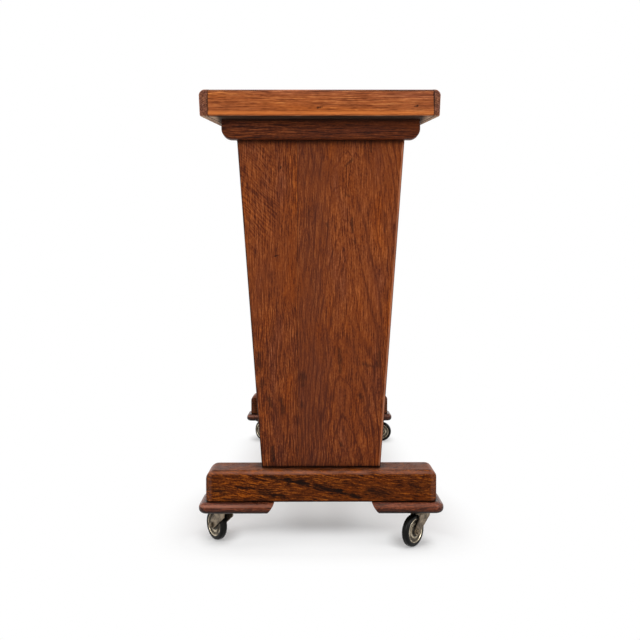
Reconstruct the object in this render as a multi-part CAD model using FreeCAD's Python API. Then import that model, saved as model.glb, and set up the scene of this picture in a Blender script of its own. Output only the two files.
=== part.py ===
import FreeCAD, Part
import math
import os

V = FreeCAD.Vector

# Frame: X across the box, Y along it, Z up, origin on the floor at the middle. Millimetres.
# "right" is the -Y end, "left" the +Y end, "front" the -X side and "back" the +X side.

# Top caps: boards across each end whose sides slant inwards towards the middle of the box
CAP_FACE_Y = 535.0
CAP_BACK_Y = 408.0
TOP_Z = 787.0
CAP_BOTTOM_Z = 741.5
CAP_HALF_WIDTH = 190.0
CAP_SLANT = 0.305
# Edge strips on a cap's slanting sides; the draft is how far their outer faces lean in at the bottom
FRONT_STRIP_WIDTH = 17.4
BACK_STRIP_WIDTH = 13.8
STRIP_DRAFT = 2.0
STRIP_TOP_RADIUS = 10.0
STRIP_EDGE = 4.0

# End panels: tapered, each made of a narrow and a wide board
PANEL_OUTER_Y = 496.0
PANEL_INNER_Y = 472.0
PANEL_BOTTOM_Z = 137.5
PANEL_HALF_BOTTOM = 104.3
PANEL_TAPER = 0.0716
PANEL_ARRIS = 2.5
SEAM_X = -40.5
TENON_HALF_THICK = 6.0
TENON_Y = 484.0
FOOT_TENON = 25.0
CAP_TENON = 20.0

# Cleats under the caps
CLEAT_OUTER_Y = 512.0
CLEAT_HALF_WIDTH = 170.5
CLEAT_BOTTOM_Z = 708.3
CLEAT_CORNER = 18.0

# Sled feet and their pads
FOOT_HALF_LENGTH = 200.5
FOOT_OUTER_Y = 520.0
FOOT_INNER_Y = 448.0
FOOT_BOTTOM_Z = 82.5
# top corners of a foot's ends, worn rounder at the front of the box than at the back
FOOT_FRONT_RADIUS = 16.0
FOOT_BACK_RADIUS = 13.0
FOOT_OUTER_EDGE = 9.0
FOOT_INNER_EDGE = 6.0
FOOT_BOTTOM_EDGE = 2.5
PAD_HALF_LENGTH = 213.0
PAD_OUTER_Y = 528.0
PAD_INNER_Y = 440.0
PAD_BOTTOM_Z = 63.0
PAD_INNER_TOP_X = 84.5
PAD_INNER_BOTTOM_X = 97.5
# both pads' inner ends sit a little to one side of the middle
PAD_INNER_SHIFT = 3.0
PAD_INNER_BULGE = 1.2

# Rails and coin slats between the caps
RAIL_OUTER_X = 165.0
RAIL_INNER_X = 126.0
RAIL_TENON = 15.0
SLAT_COUNT = 6
SLAT_WIDTH = 18.0
SLAT_BOTTOM_Z = 750.0
SLAT_SHOULDER_Z = 774.0
SLAT_RIDGE_Z = 782.0
SLAT_HOUSING = 10.0

# Long sides, bottom and chute
SIDE_INSET = 6.0
SIDE_THICK = 16.0
SIDE_HOUSING = 8.0
FRONT_JOINTS_Z = (PANEL_BOTTOM_Z, 340.0, 543.0, CAP_BOTTOM_Z)
BOTTOM_Z = 150.0
BOTTOM_THICK = 14.0
BEARER_HALF_LENGTH = 80.0
CHUTE_TOP_Z = 700.0
CHUTE_LIP_Z = 615.0
CHUTE_THICK = 13.0
NECK_HALF = 22.0
CHUTE_HOUSING = 6.0

# Collection flap in the back
OPENING_BOTTOM_Z = 235.0
OPENING_TOP_Z = 435.0
OPENING_HALF = 160.0
FLAP_SIDE_GAP = 2.0
FLAP_TOP_GAP = 2.0
FLAP_BOTTOM_GAP = 3.0
STOP_WIDTH = 20.0
STOP_THICK = 8.0

# Butt hinges of the flap
HINGE_AXIS_Z = 434.0
HINGE_STANDOFF = 3.4
HINGE_CENTRES_Y = (-105.0, 105.0)
HINGE_LENGTH = 50.0
HINGE_LEAF_HEIGHT = 27.0
HINGE_LEAF_THICK = 1.6
KNUCKLE_RADIUS = 3.2
KNUCKLE_BORE = 1.68
PIN_RADIUS = 1.6
KNUCKLE_ENDS = (-25.0, -11.0, 11.0, 25.0)
KNUCKLE_GAP = 0.3

# Cam lock of the flap
LOCK_Z = 263.0
LOCK_HEAD_RADIUS = 12.0
LOCK_HEAD_THICK = 3.0
LOCK_BODY_RADIUS = 9.0
LOCK_DEPTH = 17.0
LOCK_BORE = 6.0
LOCK_PLUG_RADIUS = 5.95
LOCK_SQUARE_HALF = 3.2
LOCK_NUT_ACROSS = 23.0
LOCK_RECESS_RADIUS = 14.5
LOCK_RECESS_X = -11.0
CAM_LENGTH = 36.0
CAM_HALF_WIDTH = 7.0
CAM_FRONT_X = -17.3
CAM_BACK_X = -19.7
RIVET_BACK_X = -21.4

# Swivel casters; the fork and the wheel are drawn with the trail along +X
RUNNING_FIT = 0.06
WHEEL_RADIUS = 28.0
RIM_RADIUS = 21.4
TYRE_HALF_WIDTH = 6.5
TYRE_SHOULDER = 4.5
HUB_RADIUS = 6.6
TRAIL = 22.0
PLATE_THICK = 2.0
PLATE_HALF_LENGTH = 29.0
PLATE_HALF_WIDTH = 22.0
SCREW_HALF_X = 22.0
SCREW_HALF_Y = 15.0
SCREW_RADIUS = 2.0
SCREW_LENGTH = 13.0
CROWN_TOP_Z = 57.6
CROWN_FRONT_X = -18.0
CROWN_BACK_X = 13.0
RACE_RADIUS = 16.0
SKIRT_RADIUS = 19.0
SHEET = 2.0
FORK_INNER = 8.2
FORK_OUTER = FORK_INNER + SHEET
AXLE_RADIUS = 2.5
AXLE_NUT_ACROSS = 8.0
AXLE_NUT_HEIGHT = 3.4
TOE_RADIUS = 7.0
KINGPIN_RADIUS = 4.0
KINGPIN_HEAD_RADIUS = 6.5
KINGPIN_HEAD_THICK = 2.4
BALL_RADIUS = 1.65
BALL_COUNT = 10
BALL_CIRCLE = 12.5
# X and Y of each caster, screwed on by eye, and the rest direction of its trail in degrees from +X
CASTERS = {
    "right_front": (-175.0, -479.0, 128.0),
    "right_back": (175.0, -487.0, 230.0),
    "left_front": (-157.0, 471.0, 130.0),
    "left_back": (163.0, 471.0, 350.0),
}


def block(x0, x1, y0, y1, z0, z1):
    return Part.makeBox(x1 - x0, y1 - y0, z1 - z0, V(x0, y0, z0))


def face_of(points):
    return Part.Face(Part.makePolygon(points + points[:1]))


def bar(section, y0, y1):
    """A straight bar along Y from a list of (x, z) corners."""
    return face_of([V(x, y0, z) for x, z in section]).extrude(V(0, y1 - y0, 0))


def soften(shape, radius, wanted):
    """Rounds the edges whose bounding box passes the test."""
    chosen = [edge for edge in shape.Edges if wanted(edge.BoundBox)]
    return shape.makeFillet(radius, chosen)


def near(a, b, tolerance=0.01):
    return abs(a - b) < tolerance


def turned(shape):
    """The same piece at the other end of the box."""
    copy = shape.copy()
    copy.rotate(V(0, 0, 0), V(0, 0, 1), 180)
    return copy


def save(node, *solids):
    shape = solids[0] if len(solids) == 1 else Part.makeCompound(list(solids))
    shape.exportStep("parts/" + node + ".step")


def panel_half(z):
    """Half the width of an end panel at height z."""
    return PANEL_HALF_BOTTOM + PANEL_TAPER * (z - PANEL_BOTTOM_Z)


def side_outer(z):
    return panel_half(z) - SIDE_INSET


SIDE_RUN = SIDE_THICK * math.hypot(1, PANEL_TAPER)


def side_inner(z):
    return side_outer(z) - SIDE_RUN


def side_section(z0, z1, sign):
    return [
        (sign * side_outer(z0), z0),
        (sign * side_outer(z1), z1),
        (sign * side_inner(z1), z1),
        (sign * side_inner(z0), z0),
    ]


def chute_section(sign):
    low_z = CHUTE_TOP_Z - CHUTE_THICK
    return [
        (sign * side_inner(CHUTE_TOP_Z), CHUTE_TOP_Z),
        (sign * NECK_HALF, CHUTE_LIP_Z),
        (sign * NECK_HALF, CHUTE_LIP_Z - CHUTE_THICK),
        (sign * side_inner(low_z), low_z),
    ]


def make_foot(radius_at_minus_x, radius_at_plus_x):
    foot = block(-FOOT_HALF_LENGTH, FOOT_HALF_LENGTH, -FOOT_OUTER_Y, -FOOT_INNER_Y,
                 FOOT_BOTTOM_Z, PANEL_BOTTOM_Z)
    for x, radius in ((-FOOT_HALF_LENGTH, radius_at_minus_x), (FOOT_HALF_LENGTH, radius_at_plus_x)):
        foot = soften(foot, radius,
                      lambda b: near(b.ZMin, PANEL_BOTTOM_Z) and b.XLength < 0.01 and near(b.XMin, x))
    for y, radius in ((-FOOT_OUTER_Y, FOOT_OUTER_EDGE), (-FOOT_INNER_Y, FOOT_INNER_EDGE)):
        foot = soften(foot, radius,
                      lambda b: b.YLength < 0.01 and near(b.YMin, y) and b.ZMax > FOOT_BOTTOM_Z + 1)
    return soften(foot, FOOT_BOTTOM_EDGE, lambda b: near(b.ZMax, FOOT_BOTTOM_Z))


def make_pad(sign):
    """One pad under a foot; sign tells which end of the foot it carries."""
    outer_x = sign * PAD_HALF_LENGTH
    inner_top = V(sign * PAD_INNER_TOP_X + PAD_INNER_SHIFT, -PAD_OUTER_Y, FOOT_BOTTOM_Z)
    inner_bottom = V(sign * PAD_INNER_BOTTOM_X + PAD_INNER_SHIFT, -PAD_OUTER_Y, PAD_BOTTOM_Z)
    chord = inner_bottom - inner_top
    bulge = V(sign * chord.z, 0, -abs(chord.x)).normalize() * PAD_INNER_BULGE
    inner_middle = (inner_top + inner_bottom) * 0.5 + bulge
    outer_top = V(outer_x, -PAD_OUTER_Y, FOOT_BOTTOM_Z)
    outer_bottom = V(outer_x, -PAD_OUTER_Y, PAD_BOTTOM_Z)
    outline = Part.Wire([
        Part.makeLine(outer_bottom, inner_bottom),
        Part.Arc(inner_bottom, inner_middle, inner_top).toShape(),
        Part.makeLine(inner_top, outer_top),
        Part.makeLine(outer_top, outer_bottom),
    ])
    pad = Part.Face(outline).extrude(V(0, PAD_OUTER_Y - PAD_INNER_Y, 0))
    pad = soften(pad, 16.0, lambda b: b.ZLength > 15 and near(b.XMin, outer_x) and near(b.XMax, outer_x))

    def on_rim(inner):
        return lambda b: (b.ZLength < 0.01 and near(b.ZMin, inner.z)
                          and not (near(b.XMin, inner.x) and b.XLength < 0.01))

    pad = soften(pad, 9.5, on_rim(inner_top))
    return soften(pad, 8.0, on_rim(inner_bottom))


def panel_tenons(x0, x1, cap_x0, cap_x1):
    y0 = -TENON_Y - TENON_HALF_THICK
    y1 = -TENON_Y + TENON_HALF_THICK
    return [
        block(x0, x1, y0, y1, PANEL_BOTTOM_Z - FOOT_TENON, PANEL_BOTTOM_Z),
        block(cap_x0, cap_x1, y0, y1, CAP_BOTTOM_Z, CAP_BOTTOM_Z + CAP_TENON),
    ]


def make_panel_board(outer_sign, tenons):
    """An end panel board from the seam to the panel's edge on the given side."""
    section = [
        (SEAM_X, PANEL_BOTTOM_Z),
        (outer_sign * panel_half(PANEL_BOTTOM_Z), PANEL_BOTTOM_Z),
        (outer_sign * panel_half(CAP_BOTTOM_Z), CAP_BOTTOM_Z),
        (SEAM_X, CAP_BOTTOM_Z),
    ]
    board = bar(section, -PANEL_OUTER_Y, -PANEL_INNER_Y)
    board = soften(board, PANEL_ARRIS,
                   lambda b: b.YLength < 0.01 and near(b.YMin, -PANEL_OUTER_Y)
                   and (near(b.ZMax, PANEL_BOTTOM_Z) or b.ZLength > 500 and b.XLength > 1))
    board = soften(board, 1.5,
                   lambda b: b.YLength < 0.01 and near(b.YMin, -PANEL_INNER_Y)
                   and b.ZLength > 500 and b.XLength > 1)
    board = soften(board, 0.5,
                   lambda b: near(b.YMin, -PANEL_OUTER_Y) and b.YLength < 0.01 and near(b.XMin, SEAM_X)
                   and b.XLength < 0.01)
    for tenon in tenons:
        board = board.fuse(tenon)
    return board.removeSplitter()


def make_cleat():
    cleat = block(-CLEAT_HALF_WIDTH, CLEAT_HALF_WIDTH, -CLEAT_OUTER_Y, -PANEL_OUTER_Y,
                  CLEAT_BOTTOM_Z, CAP_BOTTOM_Z)
    cleat = soften(cleat, CLEAT_CORNER, lambda b: near(b.ZMax, CLEAT_BOTTOM_Z) and b.XLength < 0.01)
    return soften(cleat, 3.5,
                  lambda b: b.YLength < 0.01 and near(b.YMin, -CLEAT_OUTER_Y) and b.ZMin < CAP_BOTTOM_Z - 1)


def cap_half(y):
    """Half the width of a cap without its edge strips, at distance y from the middle of the box."""
    return CAP_HALF_WIDTH - CAP_SLANT * (CAP_FACE_Y - y)


def make_cap():
    corners = []
    for sign, y in ((-1, CAP_FACE_Y), (1, CAP_FACE_Y), (1, CAP_BACK_Y), (-1, CAP_BACK_Y)):
        corners.append(V(sign * cap_half(y), -y, CAP_BOTTOM_Z))
    cap = face_of(corners).extrude(V(0, 0, TOP_Z - CAP_BOTTOM_Z))
    cap = soften(cap, 5.0, lambda b: near(b.YMax, -CAP_FACE_Y) and near(b.ZMin, TOP_Z))
    return soften(cap, 4.0, lambda b: near(b.YMax, -CAP_FACE_Y) and near(b.ZMax, CAP_BOTTOM_Z))


def make_strip(sign, width):
    """The edge strip on one slanting side of a cap."""
    def outline(z, outer):
        corners = []
        for y, reach in ((CAP_FACE_Y, 0), (CAP_FACE_Y, outer), (CAP_BACK_Y, outer), (CAP_BACK_Y, 0)):
            corners.append(V(sign * (cap_half(y) + reach), -y, z))
        return Part.makePolygon(corners + corners[:1])

    def beyond(b, reach):
        return max(abs(b.XMin), abs(b.XMax)) > CAP_HALF_WIDTH + reach - 1

    low_width = width - STRIP_DRAFT
    strip = Part.makeLoft([outline(CAP_BOTTOM_Z, low_width), outline(TOP_Z, width)], True, True)
    strip = soften(strip, STRIP_TOP_RADIUS,
                   lambda b: near(b.ZMin, TOP_Z) and b.YLength > 100 and beyond(b, width))
    strip = soften(strip, STRIP_EDGE,
                   lambda b: near(b.ZMax, CAP_BOTTOM_Z) and b.YLength > 100 and beyond(b, low_width))
    return soften(strip, STRIP_EDGE,
                  lambda b: near(b.YMax, -CAP_FACE_Y) and b.YLength < 0.01 and beyond(b, 2))


def make_rail(sign):
    x0, x1 = sorted((sign * RAIL_INNER_X, sign * RAIL_OUTER_X))
    rail = block(x0, x1, -CAP_BACK_Y, CAP_BACK_Y, CAP_BOTTOM_Z, TOP_Z)
    rail = soften(rail, 6.0,
                  lambda b: b.YLength > 500 and b.ZMin > TOP_Z - 1 and abs(b.XMin) > RAIL_OUTER_X - 1)
    rail = soften(rail, 3.0,
                  lambda b: b.YLength > 500 and b.ZMin > TOP_Z - 1 and abs(b.XMin) < RAIL_INNER_X + 1)
    rail = soften(rail, 3.0,
                  lambda b: b.YLength > 500 and b.ZMax < CAP_BOTTOM_Z + 1 and abs(b.XMin) > RAIL_OUTER_X - 1)
    t0, t1 = sorted((sign * (RAIL_INNER_X + 5), sign * (RAIL_INNER_X + 20)))
    reach = CAP_BACK_Y + RAIL_TENON
    tenon = block(t0, t1, -reach, reach, CAP_BOTTOM_Z + 12, TOP_Z - 12)
    return rail.fuse(tenon).removeSplitter()


def make_slats():
    gap = (2 * RAIL_INNER_X - SLAT_COUNT * SLAT_WIDTH) / (SLAT_COUNT + 1)
    half = SLAT_WIDTH / 2
    reach = CAP_BACK_Y + SLAT_HOUSING
    slats = []
    for i in range(SLAT_COUNT):
        x = -RAIL_INNER_X + gap + half + i * (SLAT_WIDTH + gap)
        section = [
            (x - half, SLAT_BOTTOM_Z),
            (x + half, SLAT_BOTTOM_Z),
            (x + half, SLAT_SHOULDER_Z),
            (x, SLAT_RIDGE_Z),
            (x - half, SLAT_SHOULDER_Z),
        ]
        slat = bar(section, -reach, reach)
        slats.append(soften(slat, 2.5, lambda b: b.YLength > 500 and b.ZMin > SLAT_SHOULDER_Z + 1))
    return slats


# The flap, its hinges and its lock are drawn flat and then laid on the sloping back:
# local X points outwards, local Y runs along the box and local Z runs up the slope.
SLOPE_DEG = math.degrees(math.atan(PANEL_TAPER))


def on_back(shape, z):
    """Moves a piece drawn about the origin to the back's outer face at height z."""
    placed = shape.copy()
    placed.rotate(V(0, 0, 0), V(0, 1, 0), SLOPE_DEG)
    placed.translate(V(side_outer(z), 0, z))
    return placed


def rod(radius, y0, y1, x=0.0, z=0.0):
    return Part.makeCylinder(radius, y1 - y0, V(x, y0, z), V(0, 1, 0))


def pegs(radius, x0, x1, y, z):
    return Part.makeCylinder(radius, x1 - x0, V(x0, y, z), V(1, 0, 0))


def make_hinge_leaf(centre_y, up, spans):
    """One hinge leaf: a plate with a row of knuckles along the hinge line."""
    z0, z1 = (KNUCKLE_RADIUS + 1, HINGE_LEAF_HEIGHT) if up > 0 else (-HINGE_LEAF_HEIGHT, -KNUCKLE_RADIUS - 1)
    half = HINGE_LENGTH / 2
    plate = block(0, HINGE_LEAF_THICK, centre_y - half, centre_y + half, z0, z1)
    far_z = up * HINGE_LEAF_HEIGHT
    plate = soften(plate, 4.0, lambda b: near(b.ZMin, far_z) and b.XLength > 1 and b.YLength < 0.01)
    leaf = plate
    for y0, y1 in spans:
        a, b = centre_y + y0, centre_y + y1
        tongue_z = sorted((0.0, up * (KNUCKLE_RADIUS + 1)))
        tongue = block(0.3, HINGE_LEAF_THICK, a, b, tongue_z[0], tongue_z[1])
        leaf = leaf.fuse(tongue).fuse(rod(KNUCKLE_RADIUS, a, b, HINGE_STANDOFF))
    leaf = leaf.cut(rod(KNUCKLE_BORE, centre_y - half - 1, centre_y + half + 1, HINGE_STANDOFF))
    for y, z in hinge_screw_places(centre_y, up):
        cone = Part.makeCone(1.9, 3.6, HINGE_LEAF_THICK, V(0, y, z), V(1, 0, 0))
        leaf = leaf.cut(cone)
    return leaf.removeSplitter()


def hinge_screw_places(centre_y, up):
    return [(centre_y - 17, up * 12), (centre_y, up * 20), (centre_y + 17, up * 12)]


def make_hinge_screw(y, z):
    head = Part.makeCone(1.8, 3.5, HINGE_LEAF_THICK, V(0, y, z), V(1, 0, 0))
    shank = pegs(1.8, -8, 0, y, z)
    tip = Part.makeCone(0.4, 1.8, 4, V(-12, y, z), V(1, 0, 0))
    slot = block(HINGE_LEAF_THICK - 0.7, HINGE_LEAF_THICK, y - 4, y + 4, z - 0.4, z + 0.4)
    return head.fuse(shank).fuse(tip).cut(slot).removeSplitter()


def hinge_screw_hole(y, z):
    return pegs(1.85, -12.2, 0.1, y, z)


def make_hinge_pin(centre_y):
    half = HINGE_LENGTH / 2
    pin = rod(PIN_RADIUS, centre_y - half - 0.6, centre_y + half + 0.6, HINGE_STANDOFF)
    for y0, y1 in ((-half - 1.8, -half - 0.3), (half + 0.3, half + 1.8)):
        pin = pin.fuse(rod(2.8, centre_y + y0, centre_y + y1, HINGE_STANDOFF))
    return pin.removeSplitter()


def hexagon(across_flats, x0, x1):
    radius = across_flats / math.sqrt(3)
    points = [V(x0, radius * math.cos(math.radians(60 * i)), radius * math.sin(math.radians(60 * i)))
              for i in range(6)]
    return face_of(points).extrude(V(x1 - x0, 0, 0))


def make_lock():
    """Cam lock drawn with its axis on local X: cylinder, nut, plug with a riveted end, cam."""
    head = pegs(LOCK_HEAD_RADIUS, 0, LOCK_HEAD_THICK, 0, 0)
    head = soften(head, 1.5, lambda b: near(b.XMin, LOCK_HEAD_THICK) and b.XLength < 0.01)
    cylinder = pegs(LOCK_BODY_RADIUS, -LOCK_DEPTH, 0.5, 0, 0).fuse(head)
    cylinder = cylinder.cut(pegs(LOCK_BORE, -LOCK_DEPTH - 1, LOCK_HEAD_THICK + 1, 0, 0)).removeSplitter()
    nut = hexagon(LOCK_NUT_ACROSS, LOCK_RECESS_X - 4.5, LOCK_RECESS_X)
    nut = nut.cut(pegs(LOCK_BODY_RADIUS, -LOCK_DEPTH, 0, 0, 0))
    side = LOCK_SQUARE_HALF
    square = block(CAM_BACK_X - 0.3, -LOCK_DEPTH, -side, side, -side, side)
    keyway = block(-6, LOCK_HEAD_THICK, -0.8, 0.8, -side, side)
    rivet = pegs(5.5, RIVET_BACK_X, CAM_BACK_X, 0, 0)
    rivet = soften(rivet, 1.2, lambda b: near(b.XMax, RIVET_BACK_X))
    plug = pegs(LOCK_PLUG_RADIUS, CAM_FRONT_X + 0.1, LOCK_HEAD_THICK - 0.4, 0, 0)
    plug = plug.cut(keyway).fuse(square).fuse(rivet).removeSplitter()
    cam = block(CAM_BACK_X, CAM_FRONT_X, 0, CAM_LENGTH, -CAM_HALF_WIDTH, CAM_HALF_WIDTH)
    cam = soften(cam, 5.0, lambda b: near(b.YMin, CAM_LENGTH) and b.YLength < 0.01 and b.XLength > 1)
    cam = cam.fuse(pegs(LOCK_BODY_RADIUS, CAM_BACK_X, CAM_FRONT_X, 0, 0)).cut(square).removeSplitter()
    return cylinder, nut, plug, cam


def lock_hole():
    through = pegs(LOCK_BODY_RADIUS, -SIDE_THICK - 1, 1, 0, 0)
    return through.fuse(pegs(LOCK_RECESS_RADIUS, -SIDE_THICK - 1, LOCK_RECESS_X, 0, 0))


def make_flap():
    bottom = OPENING_BOTTOM_Z + FLAP_BOTTOM_GAP
    top = OPENING_TOP_Z - FLAP_TOP_GAP
    half = OPENING_HALF - FLAP_SIDE_GAP
    flap = bar(side_section(bottom, top, 1), -half, half)
    return soften(flap, 1.5,
                  lambda b: b.XMin > side_outer(bottom) - 0.1 and (b.YLength > 300 or b.ZLength > 100))


def ring(radius_out, radius_in, z0, z1):
    tube = Part.makeCylinder(radius_out, z1 - z0, V(0, 0, z0))
    return tube.cut(Part.makeCylinder(radius_in, z1 - z0, V(0, 0, z0)))


def revolve_axle(profile):
    """Revolves (radius, offset along the axle) corners about the axle, which lies on local Y."""
    points = [V(TRAIL + radius, offset, WHEEL_RADIUS) for radius, offset in profile]
    return face_of(points).revolve(V(TRAIL, 0, WHEEL_RADIUS), V(0, 1, 0), 360)


def mirrored(half_profile):
    """Completes a wheel profile from its outer half, given from the bore outwards."""
    return half_profile + [(radius, -offset) for radius, offset in reversed(half_profile)]


def make_wheel():
    """Pressed disc wheel: hub, dished web with a raised ring, and a lipped rim."""
    bore = AXLE_RADIUS + RUNNING_FIT
    hub_end = FORK_INNER - 0.4
    return revolve_axle(mirrored([
        (bore, hub_end), (HUB_RADIUS - 0.6, hub_end), (HUB_RADIUS, hub_end - 0.6), (HUB_RADIUS + 0.3, 4.4),
        (8.6, 3.6), (10.4, 5.0), (13.2, 5.0), (14.6, 3.4), (17.8, 3.4), (18.8, 5.6), (19.4, 6.1),
        (RIM_RADIUS - 0.6, 6.1), (RIM_RADIUS, 5.5),
    ]))


def make_tyre():
    """Rubber tyre with rounded shoulders."""
    tyre = revolve_axle(mirrored([
        (RIM_RADIUS, 5.5), (RIM_RADIUS + 0.8, TYRE_HALF_WIDTH), (WHEEL_RADIUS, TYRE_HALF_WIDTH),
    ]))
    return soften(tyre, TYRE_SHOULDER, lambda b: b.YLength < 0.01 and b.XLength > 2 * WHEEL_RADIUS - 1)


def make_fork():
    """Pressed steel fork: two swept-back legs bent down from a deck, and a round race for the balls."""
    fork = block(CROWN_FRONT_X, CROWN_BACK_X, -FORK_OUTER, FORK_OUTER, CROWN_TOP_Z - SHEET, CROWN_TOP_Z)
    for y in (-FORK_OUTER, FORK_INNER):
        outline = [
            (CROWN_FRONT_X, CROWN_TOP_Z - 1), (CROWN_BACK_X, CROWN_TOP_Z - 1), (16, 47), (23, 39.5),
            (TRAIL + TOE_RADIUS, WHEEL_RADIUS), (TRAIL - 4, WHEEL_RADIUS - 5.6), (CROWN_FRONT_X, 49),
        ]
        leg = face_of([V(x, y, z) for x, z in outline]).extrude(V(0, SHEET, 0))
        toe = Part.makeCylinder(TOE_RADIUS, SHEET, V(TRAIL, y, WHEEL_RADIUS), V(0, 1, 0))
        fork = fork.fuse(leg.fuse(toe))
    fork = fork.removeSplitter()
    fork = soften(fork, 1.8, lambda b: b.XLength > 25 and near(abs(b.YMin), FORK_OUTER) and b.YLength < 0.01
                  and near(b.ZMin, CROWN_TOP_Z))
    race = Part.makeCylinder(RACE_RADIUS, 1.5, V(0, 0, CROWN_TOP_Z - 1.5))
    fork = fork.fuse(race)
    fork = fork.cut(Part.makeCylinder(KINGPIN_RADIUS + RUNNING_FIT, 10, V(0, 0, CROWN_TOP_Z - 6)))
    return fork.cut(rod(AXLE_RADIUS, -20, 20, TRAIL, WHEEL_RADIUS)).removeSplitter()


def make_axle():
    """Axle bolt with a domed head, and its nut."""
    bolt = rod(AXLE_RADIUS, -FORK_OUTER, FORK_OUTER + AXLE_NUT_HEIGHT + 0.8, TRAIL, WHEEL_RADIUS)
    head_end = -FORK_OUTER - 2.2
    head = rod(4.0, head_end, -FORK_OUTER, TRAIL, WHEEL_RADIUS)
    head = soften(head, 1.5, lambda b: near(b.YMax, head_end))
    nut = hexagon(AXLE_NUT_ACROSS, 0, AXLE_NUT_HEIGHT)
    nut.rotate(V(0, 0, 0), V(0, 0, 1), 90)
    nut.translate(V(TRAIL, FORK_OUTER, WHEEL_RADIUS))
    nut = nut.cut(rod(AXLE_RADIUS, 0, 20, TRAIL, WHEEL_RADIUS))
    return [bolt.fuse(head).removeSplitter(), nut]


CASTER_SCREWS = [(x, y) for x in (-SCREW_HALF_X, SCREW_HALF_X) for y in (-SCREW_HALF_Y, SCREW_HALF_Y)]
PLATE_BOTTOM_Z = PAD_BOTTOM_Z - PLATE_THICK


def make_plate():
    """Mounting plate with a skirt round the ball race."""
    plate = block(-PLATE_HALF_LENGTH, PLATE_HALF_LENGTH, -PLATE_HALF_WIDTH, PLATE_HALF_WIDTH,
                  PLATE_BOTTOM_Z, PAD_BOTTOM_Z)
    plate = soften(plate, 6.0, lambda b: b.ZLength > 1 and b.XLength < 0.01)
    skirt = ring(SKIRT_RADIUS, SKIRT_RADIUS - 1.6, CROWN_TOP_Z + 0.8, PLATE_BOTTOM_Z)
    plate = plate.fuse(skirt).removeSplitter()
    plate = plate.cut(Part.makeCylinder(KINGPIN_RADIUS, 10, V(0, 0, PLATE_BOTTOM_Z - 1)))
    for x, y in CASTER_SCREWS:
        plate = plate.cut(Part.makeCylinder(SCREW_RADIUS + 0.1, 10, V(x, y, PLATE_BOTTOM_Z - 1)))
    return plate


def make_kingpin():
    head_top = CROWN_TOP_Z - SHEET - 0.3
    head_bottom = head_top - KINGPIN_HEAD_THICK
    shaft = Part.makeCylinder(KINGPIN_RADIUS, PAD_BOTTOM_Z - head_top, V(0, 0, head_top))
    head = Part.makeCylinder(KINGPIN_HEAD_RADIUS, KINGPIN_HEAD_THICK, V(0, 0, head_bottom))
    head = soften(head, 1.2, lambda b: near(b.ZMax, head_bottom))
    return shaft.fuse(head).removeSplitter()


def make_balls():
    z = (CROWN_TOP_Z + PLATE_BOTTOM_Z) / 2
    balls = []
    for i in range(BALL_COUNT):
        angle = 2 * math.pi * i / BALL_COUNT
        centre = V(BALL_CIRCLE * math.cos(angle), BALL_CIRCLE * math.sin(angle), z)
        balls.append(Part.makeSphere(BALL_RADIUS, centre))
    return balls


def make_caster_screw(x, y):
    z0 = PLATE_BOTTOM_Z
    head = Part.makeCylinder(2 * SCREW_RADIUS, 2.2, V(x, y, z0 - 2.2))
    head = soften(head, 1.0, lambda b: near(b.ZMax, z0 - 2.2))
    slot = block(x - 5, x + 5, y - 0.5, y + 0.5, z0 - 3, z0 - 1.4)
    shank = Part.makeCylinder(SCREW_RADIUS, SCREW_LENGTH, V(x, y, z0))
    tip = Part.makeCone(SCREW_RADIUS, 0.4, 3.5, V(x, y, z0 + SCREW_LENGTH))
    return head.cut(slot).fuse(shank).fuse(tip).removeSplitter()


def caster_screw_hole(x, y):
    return Part.makeCylinder(SCREW_RADIUS + 0.05, SCREW_LENGTH + 2, V(x, y, PAD_BOTTOM_Z - 0.1))


def at_caster(shape, place, swivelled):
    x, y, angle = place
    moved = shape.copy()
    if swivelled:
        moved.rotate(V(0, 0, 0), V(0, 0, 1), angle)
    moved.translate(V(x, y, 0))
    return moved


os.makedirs("parts", exist_ok=True)

# Long sides, chute and bottom
reach = PANEL_INNER_Y + SIDE_HOUSING
front_boards = []
for z0, z1 in zip(FRONT_JOINTS_Z, FRONT_JOINTS_Z[1:]):
    front_boards.append(bar(side_section(z0, z1, -1), -reach, reach))
back_upper = bar(side_section(OPENING_TOP_Z, CAP_BOTTOM_Z, 1), -reach, reach)
back_lower = bar(side_section(PANEL_BOTTOM_Z, OPENING_BOTTOM_Z, 1), -reach, reach)
stile_section = side_section(OPENING_BOTTOM_Z, OPENING_TOP_Z, 1)
stiles = [bar(stile_section, -reach, -OPENING_HALF), bar(stile_section, OPENING_HALF, reach)]
chute_reach = PANEL_INNER_Y + CHUTE_HOUSING
chutes = {}
for name, sign in (("front", -1), ("back", 1)):
    chutes[name] = bar(chute_section(sign), -chute_reach, chute_reach)
floor_top = BOTTOM_Z + BOTTOM_THICK
floor_section = [
    (-side_inner(BOTTOM_Z), BOTTOM_Z),
    (side_inner(BOTTOM_Z), BOTTOM_Z),
    (side_inner(floor_top), floor_top),
    (-side_inner(floor_top), floor_top),
]
bottom_board = bar(floor_section, -PANEL_INNER_Y, PANEL_INNER_Y)
bearer = block(-BEARER_HALF_LENGTH, BEARER_HALF_LENGTH, -PANEL_INNER_Y, -FOOT_INNER_Y,
               PANEL_BOTTOM_Z, BOTTOM_Z)
stop_section = [(x - SIDE_RUN, z) for x, z in stile_section[:2]]
stop_section += [(x - STOP_THICK, z) for x, z in reversed(stop_section)]
stops = []
for sign in (-1, 1):
    y0, y1 = sorted((sign * (OPENING_HALF - 8), sign * (OPENING_HALF - 8 + STOP_WIDTH)))
    stops.append(bar(stop_section, y0, y1))

# Rails and slats
rails = {"front": make_rail(-1), "back": make_rail(1)}
slats = make_slats()

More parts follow.
